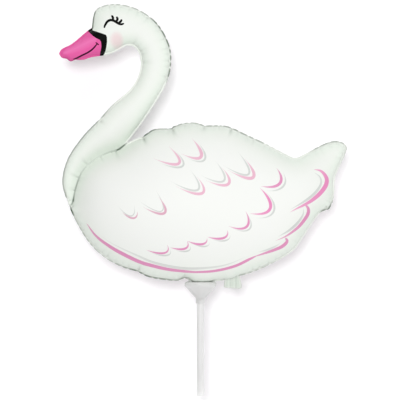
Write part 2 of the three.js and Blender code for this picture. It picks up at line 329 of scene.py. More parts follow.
# Where a feather's shadow lies: how far its tip, bend and top are shifted, and its width, in pixels
SHADE_OUTSIDE = ((6, 4.6), (3.6, 2.8), (6.5, 4.5), 2)
SHADE_OUTSIDE_SMALL = ((5, 2.8), (2.9, 2.3), (2.5, 4), 1.6)
SHADE_INSIDE = ((-5, -5), (-4.3, -3.4), (-6.5, -6.5), 2.1)
SHADE_INSIDE_SMALL = ((-5, -7), (-2.4, -2.2), (-3, -7), 1.2)
FEATHERS = [
    # tip, bend, top, width, colour, how slim its ends are, and where its shadow lies
    # the two small ones on the shoulder
    ((154, 158.6), (178.8, 163.4), (169, 146.6), 2.8, PALE_PINK, 1.5, SHADE_OUTSIDE),
    ((181.5, 153.7), (201, 156.8), (192, 138.4), 3.3, PALE_PINK, 1.5, SHADE_OUTSIDE),
    # the row across the wing
    ((175.9, 186.3), (202, 193.3), (196.7, 176.3), 2.8, PALE_PINK, 1.7, SHADE_INSIDE),
    ((206, 180.4), (228.2, 184.1), (222, 167.6), 2.9, PALE_PINK, 1.7, SHADE_INSIDE),
    ((228, 170.1), (252.8, 177.6), (244.7, 158.6), 3.3, PALE_PINK, 1.7, SHADE_INSIDE),
    # the front of the wing
    ((122.5, 212.5), (133.4, 218.2), (137.3, 211.5), 1.9, ROSE, 1, SHADE_INSIDE_SMALL),
    ((143, 207), (164.2, 213.2), (158.7, 197), 2.6, ROSE, 1.4, SHADE_INSIDE_SMALL),
    # the long row from the tail down to the belly
    ((261, 186.1), (279.7, 183.5), (276.6, 168), 3, PINK, 1.1, SHADE_OUTSIDE),
    ((250, 213.4), (270.2, 208.5), (260, 188), 3.1, STRONG_PINK, 1, SHADE_OUTSIDE),
    ((228.4, 226), (246.5, 226.8), (245.5, 211), 2.5, PINK, 1.1, SHADE_OUTSIDE_SMALL),
    ((207.5, 236.8), (223.3, 238.1), (227.3, 230.3), 2.4, PINK, 0.9, SHADE_OUTSIDE_SMALL),
    ((187.5, 241), (202.1, 244.2), (207, 238), 2.3, PINK, 0.9, SHADE_OUTSIDE_SMALL),
    ((170.4, 247.5), (185.1, 248.6), (187.1, 241), 2.2, PINK, 0.9, SHADE_OUTSIDE_SMALL),
    ((146.5, 250), (164.4, 253), (167.2, 244.9), 2, PINK, 0.9, SHADE_OUTSIDE_SMALL),
]

# The long strokes of tail and belly, first the grey shadows and then the pink lines over them: the pixels of
# each, its width, its colour and how it thins out and fades
LONG_STROKES = [
    ([(314.5, 172.5), (320, 177), (321, 184), (315, 193), (305, 201), (290.5, 209.5)],
     2.7, SHADOW_GREY, dict(taper=(0.7, 1), fade=0.4)),
    ([(303.5, 208.5), (303.3, 214), (298, 222.5), (289, 230.5), (278, 236.8)],
     2.6, SHADOW_GREY, dict(taper=(0.7, 1), fade=0.4)),
    ([(281, 242.5), (277, 245.5), (268.5, 249.5), (258, 252.3)],
     2.0, PALE_GREY, dict(fade=0.5)),
    ([(92, 228), (108, 241), (124, 249.5), (139, 256.3), (153, 262.3), (172, 266.8), (191, 268.6),
      (215, 267), (229.6, 263.7), (245, 257.3)],
     2.6, MIST_GREY, dict(taper=(1.7, 0.8), fade=0.5, bulge=0.55)),
    ([(314.3, 169.3), (321, 171), (325.5, 175.8), (327, 181), (325, 187), (319.5, 194), (312, 200.3),
      (305, 204.5), (297, 208.5), (290, 212.3)],
     4.4, STRONG_PINK, dict(taper=(0.8, 0.9), fade=0.25, bulge=0.36)),
    ([(305, 204.3), (308.3, 208.5), (308, 214), (304, 220.5), (298.5, 227), (291, 233), (284.5, 237),
      (276, 240.7)],
     3.4, PINK, dict(taper=(0.45, 0.9), fade=0.25, bulge=0.22)),
    ([(285.3, 237.8), (287.2, 241.3), (282.5, 246.3), (273.5, 250.3), (264, 253.5), (252, 257.5)],
     3.3, PINK, dict(taper=(0.4, 0.8), fade=0.2, bulge=0.18)),
    ([(86.5, 223.5), (96, 236), (110, 246.7), (124, 254.6), (138.7, 261.6), (149, 264.9), (170, 269.7),
      (195, 272.1), (205, 271.9)],
     3.6, PINK, dict(taper=(0.6, 0.38), fade=0.15, bulge=0.42)),
    ([(185, 271.6), (195, 272.1), (215, 270.9), (235, 266.1), (250, 259), (258, 255.2)],
     2.7, PINK, dict(taper=(0.25, 0.7), fade=0.15, bulge=0.8)),
]


def print_wing():
    """The feathers and, over their ends, the long strokes."""
    for parts in FEATHERS:
        feather(*parts)
    for pixels, width, colour, ends in LONG_STROKES:
        stroke(pixels, width, colour, **ends)


# The face: the black mask's two edges, the pixels round the outside of the beak, the closed eye with its
# lashes, the mouth and the painted highlight along the beak
MASK_OUTER = [(88.6, 28), (90.4, 27.2), (92.2, 28.6), (92.6, 30.2), (98, 32), (103, 33.6), (106, 34.8),
              (106.9, 37), (107, 42), (106.3, 47), (105.2, 51.5), (103.8, 54.5), (102.5, 56.4), (100, 60)]
MASK_INNER = [(99, 60), (99.8, 54), (100.8, 50), (101.3, 46), (101, 42), (99.8, 39.8), (96, 38),
              (92.5, 35.5), (89.8, 32.8), (86.5, 29.5)]
BESIDE_BEAK = [(80, 24), (50, 36), (50, 72), (96, 64)]
EYELID = [(104, 28), (105.2, 24.7), (107.3, 21.6), (110, 20.1), (113, 20.3), (116.5, 22.2), (119, 23.7),
          (121.5, 24.2), (124.1, 23.2)]
EYELID_WIDTH = 2.6
LASHES = [
    [(112.3, 20.4), (113, 18.2), (112.4, 16.5), (111.2, 15.3)],
    [(115.8, 21.8), (117.3, 19.7), (117.3, 18.1), (116.1, 16.6)],
    [(118, 23.4), (120, 21.9), (121.2, 20.6), (121.4, 19)],
]
LASH_WIDTH = 2.4
MOUTH = [(73, 59.3), (76, 58.3), (82, 55.3), (88, 52.3), (92, 49.5), (95.5, 45.7), (97.4, 43.2)]
MOUTH_WIDTH = 1.7
MOUTH_CORNER = [(95.4, 42.2), (98.9, 45)]
MOUTH_CORNER_WIDTH = 1.3
# The painted highlight along the beak: lighter pink strokes in steps down its ridge
BEAK_RIDGE = [(63, 53.5), (70, 50.5), (80, 46), (89, 41.5), (97, 38.5)]
SHINE_STEPS = 4
SHINE_WIDTH = 11
SHINE_LEAST = 0.15  # the last and lightest step's share of that width


def print_face():
    """The beak with its painted highlight and mouth, then the mask over its end, then the eye."""
    add_mark(MASK_INNER + BESIDE_BEAK, BEAK_PINK)
    for k in range(SHINE_STEPS):
        share = (k + 1) / SHINE_STEPS
        colour = tuple(a + share * (b - a) for a, b in zip(BEAK_PINK, BEAK_PAINTED_HIGHLIGHT))
        stroke(BEAK_RIDGE, SHINE_WIDTH * (1 + SHINE_LEAST - share), colour, taper=(0.4, 0.4), bulge=0.7)
    pen_line(MOUTH, MOUTH_WIDTH, PLUM)
    pen_line(MOUTH_CORNER, MOUTH_CORNER_WIDTH, PLUM)
    add_mark(MASK_OUTER + MASK_INNER, BLACK)
    pen_line(EYELID, EYELID_WIDTH, BLACK)
    for lash in LASHES:
        pen_line(lash, LASH_WIDTH, BLACK)


print_wing()
print_face()


# The flat film: outline, welds and print in one mesh of triangles

def nearest_tree(points):
    """A tree that finds the nearest of the plan points."""
    tree = KDTree(len(points))
    for index, (x, y) in enumerate(points):
        tree.insert((x, y, 0), index)
    tree.balance()
    return tree


def nearest(tree, points):
    """Which of the tree's points is nearest to each plan point, and how far it is."""
    found = [tree.find((x, y, 0)) for x, y in points]
    return np.array([index for _, index, _ in found]), np.array([gap for _, _, gap in found])


outline_tree = nearest_tree(OUTLINE)
weld_tree = nearest_tree(NECK_WELD)
RIM_INWARD = normals_of(OUTLINE, True)
WELD_LEFT = normals_of(NECK_WELD, False)


def is_inside(points):
    """Which points lie within the outline."""
    x, y = points[:, 0][:, None], points[:, 1][:, None]
    x0, y0 = OUTLINE.T
    x1, y1 = np.roll(OUTLINE, -1, 0).T
    spans = (y0 > y) != (y1 > y)
    crossing = x < (x1 - x0) * (y - y0) / np.where(y1 == y0, 1, y1 - y0) + x0
    return (spans & crossing).sum(1) % 2 == 1


def film_points():
    """Points for the mesh: close rows along the rim and the neck weld, then an even field."""
    rows = []
    for gap in [FLANGE_LINE, FLANGE_WIDTH] + [FLANGE_WIDTH + row for row in SHOULDER_ROWS]:
        row = OUTLINE + RIM_INWARD * gap
        keep = is_inside(row) & (nearest(outline_tree, row)[1] > gap * ROW_SHARE)
        rows.append(row[keep])
    for gap in [CREASE_WIDTH] + [CREASE_WIDTH + row for row in SHOULDER_ROWS]:
        for side in (1, -1):
            row = NECK_WELD + side * WELD_LEFT * gap
            rows.append(row[nearest(weld_tree, row)[1] > gap * ROW_SHARE])
    near_rim = FLANGE_WIDTH + SHOULDER_ROWS[-1] + FIELD_CLEARANCE
    near_weld = CREASE_WIDTH + SHOULDER_ROWS[-1] + FIELD_CLEARANCE
    low, high = OUTLINE.min(0), OUTLINE.max(0)
    columns = np.arange(low[0], high[0], GRID_STEP)
    lines = np.arange(low[1], high[1], GRID_STEP * math.sqrt(3) / 2)
    field = np.array([(x + (k % 2) * GRID_STEP / 2, y) for k, y in enumerate(lines) for x in columns])
    field = field[is_inside(field)]
    far = (nearest(outline_tree, field)[1] > near_rim) & (nearest(weld_tree, field)[1] > near_weld)
    in_rows = np.vstack(rows)
    clear = nearest(outline_tree, in_rows)[1] > RIM_CLEARANCE
    return np.vstack((in_rows[clear], field[far]))


def clear_of(points, obstacles, gap):
    """The points that are further than the gap from all the obstacles."""
    return points[nearest(nearest_tree(obstacles), points)[1] > gap]


def flat_film():
    """The film's points, its triangles and the printed mark of each triangle, or -1 where it is bare."""
    neck = NECK_WELD[1:]
    root = smooth_line([TAB_ROOT_LEFT, TAB_ROOT_RIGHT], RIM_STEP)[1:-1]
    borders = [mark["outline"] for mark in marks]
    free = clear_of(film_points(), np.vstack(borders + [root]), PRINT_CLEARANCE)
    vertices = [OUTLINE, neck, root] + borders + [free]
    starts = np.cumsum([0] + [len(v) for v in vertices])
    points = [Vector(p) for p in np.vstack(vertices)]
    edges = [(k, k + 1) for k in range(starts[1], starts[2] - 1)]
    edges += [(k, k + 1) for k in range(starts[2], starts[3] - 1)]
    faces = [list(range(starts[0], starts[1]))]
    faces += [list(range(starts[3 + k], starts[4 + k])) for k in range(len(marks))]
    places, _, parts, _, _, origins = delaunay_2d_cdt(points, edges, faces, INSIDE_ONLY, MERGE_GAP, True)
    flat = np.array([tuple(place) for place in places])
    triangles = [part for part, sources in zip(parts, origins) if 0 in sources]
    printed = [max(sources) - 1 for sources in origins if 0 in sources]
    used, order = np.unique(triangles, return_inverse=True)
    return flat[used], order.reshape(-1, 3), np.array(printed)


film, film_triangles, film_prints = flat_film()
rim_at, rim_gap = nearest(outline_tree, film)
weld_at, weld_gap = nearest(weld_tree, film)


# The filling: the film rises from its welds as a pillow does

SMALLEST_AREA = 1e-14  # these three keep a division by nought out
SMALLEST_WEIGHT = 1e-9
SMALLEST_NORMAL = 1e-12
SOLVER_STEPS = 3000
SOLVER_GOAL = 1e-5  # the share of the load that may be left over

WELD_MARGIN = 0.03 * MM
ROOT_MARGIN = 0.05 * MM
TAB_SPARE = 3 * MM
GROOVE_REACH = 8.5 * MM  # how far the groove along the neck weld reaches, and how steeply it falls
GROOVE_SOFTNESS = 0.85


def filled_height(points, triangles, welded):
    """The height of the filling: a Poisson equation on the flat film, with nought where it is welded."""
    corners = [points[triangles[:, k]] for k in range(3)]
    count = len(points)
    starts, ends, weights = [], [], []
    load = np.zeros(count)
    across = corners[1] - corners[0]
    along = corners[2] - corners[0]
    area = np.abs(across[:, 0] * along[:, 1] - across[:, 1] * along[:, 0]) / 2
    area = np.maximum(area, SMALLEST_AREA)
    for k in range(3):
        here, one, other = corners[k], corners[(k + 1) % 3], corners[(k + 2) % 3]
        cotangent = ((one - here) * (other - here)).sum(1) / (2 * area)
        starts.append(triangles[:, (k + 1) % 3])
        ends.append(triangles[:, (k + 2) % 3])
        weights.append(cotangent / 2)
        load += np.bincount(triangles[:, k], area / 3, count)
    starts, ends, weights = (np.concatenate(part) for part in (starts, ends, weights))
    total = np.bincount(starts, weights, count) + np.bincount(ends, weights, count)
    free = ~welded
    scale = np.where(free, 1 / np.maximum(total, SMALLEST_WEIGHT), 0)

    def applied(values):
        flow = np.bincount(starts, weights * values[ends], count)
        flow += np.bincount(ends, weights * values[starts], count)
        return np.where(free, total * values - flow, 0)

    values = np.zeros(count)
    rest = np.where(free, load, 0)
    goal = SOLVER_GOAL * np.linalg.norm(rest)
    push = scale * rest
    heading = push.copy()
    strength = rest @ push
    for _ in range(SOLVER_STEPS):
        pulled = applied(heading)
        step = strength / (heading @ pulled)
        values += step * heading
        rest -= step * pulled
        if np.linalg.norm(rest) < goal:
            break
        push = scale * rest
        latest = rest @ push
        heading = push + latest / strength * heading
        strength = latest
    return FULLNESS * np.sqrt(2 * np.maximum(values, 0))


def is_on_tab(points):
    """Which points lie on the tab, which is welded flat."""
    root = TAB_ROOT_RIGHT - TAB_ROOT_LEFT
    share = (points[:, 0] - TAB_ROOT_LEFT[0]) / root[0]
    on_line = TAB_ROOT_LEFT[1] + share * root[1]
    beside = (points[:, 0] > TAB_LEFT - TAB_SPARE) & (points[:, 0] < TAB_RIGHT + TAB_SPARE)
    return beside & (points[:, 1] < on_line + ROOT_MARGIN)


on_tab = is_on_tab(film)
welded = (rim_gap < FLANGE_WIDTH + WELD_MARGIN) | (weld_gap < CREASE_WIDTH + WELD_MARGIN) | on_tab
height = filled_height(film, film_triangles, welded)
height *= (1 - np.exp(-weld_gap / GROOVE_REACH)) ** GROOVE_SOFTNESS


# Places along the rim and along the neck weld

RIM_ALONG = lengths_along(np.vstack((OUTLINE, OUTLINE[:1])))
RIM_LENGTH = RIM_ALONG[-1]
WELD_ALONG = lengths_along(NECK_WELD)


def place_along(line, along, at, points):
    """How far along a line the points lie, each beside the line's point that is nearest to it."""
    ahead = np.gradient(line, axis=0)
    ahead /= np.linalg.norm(ahead, axis=1)[:, None]
    return along[at] + ((points - line[at]) * ahead[at]).sum(1)


rim_place = place_along(OUTLINE, RIM_ALONG, rim_at, film)
weld_place = place_along(NECK_WELD, WELD_ALONG, weld_at, film)

# The rim: a pixel on it, how dark the painted shade along its weld is, and how much puckers gather it and
# break that shade into dashes
RIM_SHADES_AND_PUCKERS = [
    ((92, 28), 0.9, 0), ((94, 14), 0.8, 0.1), ((98, 9), 0.4, 0.9), ((113, 4), 0.4, 1),
    ((131, 7), 0.42, 1), ((148, 16), 0.5, 1), ((155, 22), 0.85, 0.6), ((163, 33), 0.9, 0.5),
    ((169, 45), 0.9, 0.8), ((171, 59), 0.8, 1),
    ((168, 77), 0.8, 0.9), ((166, 83), 0.1, 0.5), ((163, 90), 0, 0), ((129, 142), 0, 0),
    ((141, 137), 0.05, 0), ((144, 135), 0.95, 0.2), ((152, 130.5), 0.8, 0.2), ((160, 129), 0.5, 0.3),
    ((169, 128.5), 0.45, 0.3), ((171.5, 128), 0.95, 0.2), ((177, 126), 0.65, 0.5), ((190, 123), 0.4, 0.6),
    ((205, 125), 0.6, 0.5), ((220, 126), 0.55, 0.6), ((236, 130), 0.65, 0.7),
    ((262, 142), 0.5, 1), ((270, 146), 0.15, 1), ((290, 156), 0.1, 0), ((307, 153), 0.1, 0),
    ((315, 148), 0.5, 0.4), ((338, 142), 0.5, 0.5), ((344, 146), 0.3, 0.5), ((346, 152), 0.3, 0),
    ((344, 158), 0.25, 0), ((340, 166), 0.1, 0), ((334, 183), 0, 0), ((334, 197), 0.2, 0.3),
    ((331, 206), 0.8, 0.4), ((324, 211), 0.8, 0.3), ((319, 214), 0, 0.3), ((290, 253), 0, 0.4),
    ((262, 268), 0.3, 1), ((245, 274), 0.4, 1), ((240, 276), 0.6, 0.5), ((240, 287), 0.15, 0),
    ((225, 287), 0.15, 0), ((225, 280), 0.5, 0.3), ((219, 281), 0.05, 0.2), ((207, 282), 0, 0.1),
    ((190, 280), 0.1, 0.1), ((185, 276), 0.4, 0), ((181, 279), 0.5, 0.2), ((158, 278), 0.8, 0.5),
    ((137, 271), 0.85, 0.5), ((119, 265), 0.6, 0.7), ((104, 256), 0.3, 0.8), ((93, 246), 0.45, 0.5),
    ((82, 231), 0.5, 0.4), ((75, 218), 0.4, 0.3), ((72, 213), 1, 0.2), ((70.5, 209), 1, 0.2),
    ((69, 205), 0.1, 0.2), ((67, 200), 0.1, 0.2), ((66, 196), 0.6, 0), ((63, 188), 0.55, 0),
    ((64, 168), 0.55, 0), ((78, 142), 0.6, 0), ((97, 122), 0.6, 0), ((99.5, 119.5), 0.05, 0),
    ((102, 116), 0.6, 0), ((108, 109), 0.3, 0), ((123, 96), 0, 0), ((141, 61), 0, 0),
    ((120, 49), 0, 0), ((103, 56), 0.1, 0), ((84, 59), 0, 0), ((75, 59.5), 0.3, 0),
    ((71, 61), 0.4, 0), ((64, 58), 0.3, 0), ((60, 54), 0, 0), ((78, 40), 0, 0),
    ((88, 31), 0.1, 0),
]
# The neck weld, from the notch down: a pixel on it and how dark the painted shade along it is
WELD_PAINTED_SHADE = [
    ((126, 144), 0.5), ((124, 145.5), 0.9), ((120, 148.5), 0.85), ((118, 149.5), 1), ((115.5, 150.6), 0.45),
    ((98, 157.5), 0.15), ((86, 167), 0.2), ((79.5, 177), 0.4), ((77, 184), 0.6), ((74.5, 194), 0.5),
    ((73, 200), 0.9), ((71, 205), 0.5),
]
# The folds that stand out: a pixel on the weld, the depth against a plain pucker's, the reach in mm and, on
# the neck weld, the side: 1 on the body, -1 on the neck
RIM_FOLDS = [((143, 136), 1.7, 15), ((171, 128), 1.9, 14), ((204.5, 125), 1.4, 10), ((232, 129), 1.6, 13),
             ((140.5, 52), 0.8, 20), ((141.3, 64), 0.7, 20), ((133, 46), 0.8, 16), ((333.5, 200), 0.9, 9),
             ((327, 210), 1, 9), ((344, 160), 0.7, 10), ((99.5, 119.5), 0.9, 7), ((219, 126), 1, 7),
             ((139, 271), 1, 9), ((67.5, 201), 1.3, 6), ((70, 207.5), 1.4, 7), ((345, 154), 0.9, 8)]
WELD_FOLDS = [((115, 150), 1.6, 15, 1), ((100, 156.5), 0.9, 10, 1), ((88, 165), 1.4, 12, -1),
              ((78, 178), 1.7, 15, -1), ((75, 190), 1.3, 12, -1)]
FOLD_SPAN = 4  # how many points of the outline on each side of a fold are fully gathered
FOLD_LEAN = 0.5

rim_pixels, rim_shades, rim_puckers = zip(*RIM_SHADES_AND_PUCKERS)
RIM_PAINTED_SHADE = values_along(OUTLINE, rim_pixels, rim_shades)
PUCKERED = values_along(OUTLINE, rim_pixels, rim_puckers)


# Puckers: the weld is longer than the filled form has room for, so it gathers where it bends outwards

BEND_REACH = 12 * MM
TAUT_BEND = -22.0  # the outline's bend, in radians per metre, at which the film has no puckers
MOST_GATHERED = 1.25
LEAST_PUCKERED = 0.25  # what is left of the gathering where the photograph shows none
BEAK_CORNER = (93, 70)  # the beak lies left of this pixel and above it, and hardly gathers
BEAK_GATHER = 0.15

# The ranges from which the puckers' spacing, strength and reach in mm are drawn
RIM_SPACING = (5.5 * MM, 12 * MM)
RIM_STRENGTH = (0.45, 1.0)
RIM_REACH = (5, 15)
WELD_SPACING = (7 * MM, 15 * MM)
WELD_STRENGTH = (0.5, 1.0)
WELD_REACH = (4, 9)


def rim_bend():
    """How much the outline bends outwards at each of its points, in radians per metre, evened out."""
    turns = turns_of(OUTLINE)
    reach = int(BEND_REACH / RIM_STEP)
    wrapped = np.concatenate((turns[-reach:], turns, turns[:reach]))
    window = np.hanning(2 * reach + 1)
    return np.convolve(wrapped, window / window.sum(), "valid") / RIM_STEP


GATHER = np.clip(1 - rim_bend() / TAUT_BEND, 0, MOST_GATHERED)
GATHER *= LEAST_PUCKERED + (1 - LEAST_PUCKERED) * PUCKERED
beak_corner = seam_place(*BEAK_CORNER)
GATHER[(OUTLINE[:, 0] < beak_corner.x) & (OUTLINE[:, 1] > beak_corner.y)] *= BEAK_GATHER

dice = random.Random(11)


def scattered(length, shortest, longest):
    """Places along a line, unevenly spaced."""
    places = []
    at = dice.uniform(0, longest)
    while at < length - shortest / 2:
        places.append(at)
        at += dice.uniform(shortest, longest)
    return places


# Each pucker: its place along the weld, strength and reach, and then the flange's lean or, on the neck weld,
# the side that the pucker lies on
RIM_PUCKERS = [(at, dice.uniform(*RIM_STRENGTH), dice.uniform(*RIM_REACH) * MM, dice.uniform(-1, 1))
               for at in scattered(RIM_LENGTH, *RIM_SPACING)]
WELD_PUCKERS = [(at, dice.uniform(*WELD_STRENGTH), dice.uniform(*WELD_REACH) * MM, dice.choice((-1, 1)))
                for at in scattered(WELD_ALONG[-1], *WELD_SPACING)]
for pixel, strength, reach in RIM_FOLDS:
    at = nearest(outline_tree, [seam_place(*pixel).xy])[0][0]
    GATHER[max(at - FOLD_SPAN, 0):at + FOLD_SPAN + 1] = 1
    RIM_PUCKERS.append((RIM_ALONG[at], strength, reach * MM, FOLD_LEAN))
for pixel, strength, reach, side in WELD_FOLDS:
    at = nearest(weld_tree, [seam_place(*pixel).xy])[0][0]
    WELD_PUCKERS.append((WELD_ALONG[at], strength, reach * MM, side))

# The form of a pucker: depth, width at the weld, how much it widens further in, and the power of its fading
PUCKER_DEPTH = 0.85 * MM
PUCKER_WIDTH = 0.9 * MM
PUCKER_SPREAD = 0.14
PUCKER_FADE = 1.5
WELD_PUCKER_DEPTH = 0.8 * MM
WELD_PUCKER_WIDTH = 0.8 * MM
WELD_PUCKER_SPREAD = 0.12
WELD_PUCKER_FADE = 1.3
OTHER_SIDE = 0.35  # what shows of a pucker of the neck weld on the weld's other side
FURTHEST_IN = 16 * MM

# The flange at a pucker: its edge is drawn in, it leans out of the weld's plane, and the painted dark line of
# shade breaks
SCALLOP_DEPTH = 0.5 * MM
SCALLOP_REACH = 3 * MM
FLANGE_WAVE = 0.55 * MM
WAVE_WIDTH = 2.6 * MM
DASH_GAP = 1.15 * MM
DASH_DEPTH = 0.8
DASH_SHARPNESS = 1.5

# The painted shade in the creases and along the neck weld
CREASE_PAINTED_SHADE = 0.11
CREASE_POWER = 1.6
WELD_FADE = 0.7 * MM

# The tab: two sets of creases side by side, as waves and as painted shade, over a painted shade on the whole
# tab
TAB_CREASES = (2.9 * MM, 5.3 * MM)
TAB_WAVE = 0.12 * MM
TAB_WAVE_START = 3 * MM
TAB_PAINTED_SHADE = 0.22
TAB_CONTRAST = 0.5


def bump(offset, width):
    return np.exp(-(offset / width) ** 2)


def rim_offset(places, at):
    """How far the places along the rim are from one of them, the shorter way round."""
    return (places - at + RIM_LENGTH / 2) % RIM_LENGTH - RIM_LENGTH / 2


def crease_depth():
    """How far each point of the film is drawn in by the puckers."""
    depth = np.zeros(len(film))
    near = np.flatnonzero(rim_gap < FURTHEST_IN)
    gather = GATHER[rim_at[near]]
    gap = np.maximum(rim_gap[near] - FLANGE_WIDTH, 0)
    for at, strength, reach, _ in RIM_PUCKERS:
        fade = np.clip(1 - gap / reach, 0, 1) ** PUCKER_FADE
        crease = bump(rim_offset(rim_place[near], at), PUCKER_WIDTH + PUCKER_SPREAD * gap)
        depth[near] += PUCKER_DEPTH * strength * gather * fade * crease
    near = np.flatnonzero(weld_gap < FURTHEST_IN)
    gap = np.maximum(weld_gap[near] - CREASE_WIDTH, 0)
    beside = ((film[near] - NECK_WELD[weld_at[near]]) * WELD_LEFT[weld_at[near]]).sum(1)
    for at, strength, reach, side in WELD_PUCKERS:
        fade = np.clip(1 - gap / reach, 0, 1) ** WELD_PUCKER_FADE * np.where(beside * side > 0, 1, OTHER_SIDE)
        crease = bump(weld_place[near] - at, WELD_PUCKER_WIDTH + WELD_PUCKER_SPREAD * gap)
        depth[near] += WELD_PUCKER_DEPTH * strength * fade * crease
    return depth


def gathered(places):
    """How near each place along the rim is to a pucker, from 0 to 1, and which way the flange bends there."""
    nearness = np.zeros(len(places))
    wave = np.zeros(len(places))
    for at, strength, _, lean in RIM_PUCKERS:
        offset = rim_offset(places, at)
        nearness = np.maximum(nearness, bump(offset, DASH_GAP) * (0.5 + 0.5 * strength))
        wave += lean * bump(offset, WAVE_WIDTH)
    return nearness, wave


def tab_creases():
    """The creases of the tab, side by side, from -1 to 1."""
    return np.mean([np.sin(2 * math.pi * film[:, 0] / width) for width in TAB_CREASES], axis=0)


def slopes(points, triangles):
    """The unit normal of the surface at each point."""
    a, b, c = (points[triangles[:, k]] for k in range(3))
    faces = np.cross(b - a, c - a)
    total = np.zeros((len(points), 3))
    for k in range(3):
        for axis in range(3):
            total[:, axis] += np.bincount(triangles[:, k], faces[:, axis], len(points))
    return total / np.maximum(np.linalg.norm(total, axis=1), SMALLEST_NORMAL)[:, None]


creases = crease_depth()
pucker_nearness, flange_bend = gathered(rim_place)


def puckered_film():
    """The front film's points above the weld's plane, and how the flange waves, for both films."""
    front = np.column_stack((film, height))
    front -= slopes(front, film_triangles) * (creases * ~welded)[:, None]
    gather = np.minimum(GATHER[rim_at], 1)
    pull = SCALLOP_DEPTH * pucker_nearness * gather * np.exp(-rim_gap / SCALLOP_REACH) * ~on_tab
    front[:, :2] += RIM_INWARD[rim_at] * pull[:, None]
    flutter = FLANGE_WAVE * flange_bend * np.clip(1 - rim_gap / FLANGE_WIDTH, 0, 1) * gather
    below_root = np.clip((TAB_ROOT_LEFT[1] - film[:, 1]) / TAB_WAVE_START, 0, 1)
    return front, np.where(on_tab, TAB_WAVE * tab_creases() * below_root, flutter)


# What the material reads: the painted shade along the welds, creases and tab, the pink cheek, and how near
# the edge is

def painted_weld_shade():
    """The painted shade of the welds, the creases and the tab at each point of the film."""
    line = np.clip((FLANGE_WIDTH - rim_gap) / (FLANGE_WIDTH - FLANGE_LINE), 0, 1)
    dashes = 1 - DASH_DEPTH * PUCKERED[rim_at] * np.clip(DASH_SHARPNESS * pucker_nearness, 0, 1)
    # painted shade over the whole tab, deeper along its creases
    tab_shade = TAB_PAINTED_SHADE * (1 + TAB_CONTRAST * tab_creases())
    # the dark line along the rim is painted shade, broken into dashes near the puckers
    rim = np.where(on_tab, tab_shade, RIM_PAINTED_SHADE[rim_at] * dashes * line)
    pixels, weld_shades = zip(*WELD_PAINTED_SHADE)
    at, _ = nearest(weld_tree, [seam_place(*pixel).xy for pixel in pixels])
    # painted shade along the neck weld, fading off to each side
    weld_shade_along = np.interp(weld_place, WELD_ALONG[at], weld_shades)
    neck = weld_shade_along * np.clip(1 - (weld_gap - CREASE_WIDTH) / WELD_FADE, 0, 1)
    # painted shade in the creases, darker where they are deeper
    return np.maximum(np.maximum(rim, neck), CREASE_PAINTED_SHADE * (creases / PUCKER_DEPTH) ** CREASE_POWER)


BLUSH_PIXEL = (116.6, 40)
BLUSH_SIZE = (7.0 * MM, 8.7 * MM)
BLUSH_STRENGTH = 1.2


def blush_strength():
    """How strong the cheek's pink is at each point of the film."""
    spread = (film - np.array(film_place(*BLUSH_PIXEL))) / BLUSH_SIZE
    return np.clip(BLUSH_STRENGTH - (spread ** 2).sum(1), 0, 1)


EDGE_REACH = 10 * MM
WELD_START = 2.3 * MM  # the neck weld counts as no nearer than this, so that it isn't as pale as the flange


def edge_nearness():
    """How near the rim or the neck weld is: 1 on the rim, and less and less further in."""
    return np.exp(-np.minimum(rim_gap, np.maximum(weld_gap, WELD_START)) / EDGE_REACH)


# The whole envelope: two films, front and back, joined round the outline

def envelope_faces():
    """The points and faces of the front film, the back film and the narrow wall between their rims."""
    count = len(film)
    shape, flutter = puckered_film()
    front = np.column_stack((shape[:, :2], SEAM + flutter + WELD_THICKNESS / 2 + shape[:, 2]))
    back = np.column_stack((shape[:, :2], np.maximum(SEAM + flutter - WELD_THICKNESS / 2 - shape[:, 2], 0)))
    edges = np.vstack([film_triangles[:, [a, b]] for a, b in ((0, 1), (1, 2), (2, 0))])
    key = np.sort(edges, axis=1)
    _, first, times = np.unique(key, axis=0, return_index=True, return_counts=True)
    border = edges[first[times == 1]]
    wall_low = np.column_stack((border[:, 0], border[:, 0] + count, border[:, 1] + count))
    wall_high = np.column_stack((border[:, 0], border[:, 1] + count, border[:, 1]))
    faces = np.vstack((film_triangles, film_triangles[:, ::-1] + count, wall_low, wall_high))
    return np.vstack((front, back)), faces


def ink_colours(faces):
    """The print at each corner of each face: its colour, and its strength as a fourth number."""
    colours = np.zeros((len(faces) * 3, 4))
    print_of_face = np.full(len(faces), -1)
    print_of_face[:2 * len(film_prints)] = np.tile(film_prints, 2)
    for k, mark in enumerate(marks):
        chosen = np.flatnonzero(print_of_face == k)
        if not len(chosen):
            continue
        corners = (chosen[:, None] * 3 + np.arange(3)).ravel()
        colours[corners] = mark["colour"] + (1,)
        if mark["line"] is not None:
            at, _ = nearest(nearest_tree(mark["line"]), film[faces[chosen].ravel() % len(film)])
            colours[corners, 3] = mark["strength"][at]
    return colours


def envelope_mesh():
    """The envelope as a mesh, with its print, its painted shade and its other tones as attributes."""
    points, faces = envelope_faces()
    mesh = bpy.data.meshes.new("foil_envelope")
    mesh.from_pydata(points.tolist(), [], faces.tolist())
    mesh.polygons.foreach_set("use_smooth", [True] * len(mesh.polygons))
    ink = mesh.attributes.new("ink", "FLOAT_COLOR", "CORNER")
    ink.data.foreach_set("color", ink_colours(faces).astype(np.float32).ravel())
    # one of these layers is the painted shade along the welds, creases and tab
    layers = {"edge": edge_nearness(), "fill": height / height.max(), "painted_shade": painted_weld_shade(),
              "blush": blush_strength()}
    for name, values in layers.items():
        layer = mesh.attributes.new(name, "FLOAT", "POINT")
        layer.data.foreach_set("value", np.tile(values, 2).astype(np.float32))
    mesh.validate()
    return mesh


# Materials, from short functions that each add a node

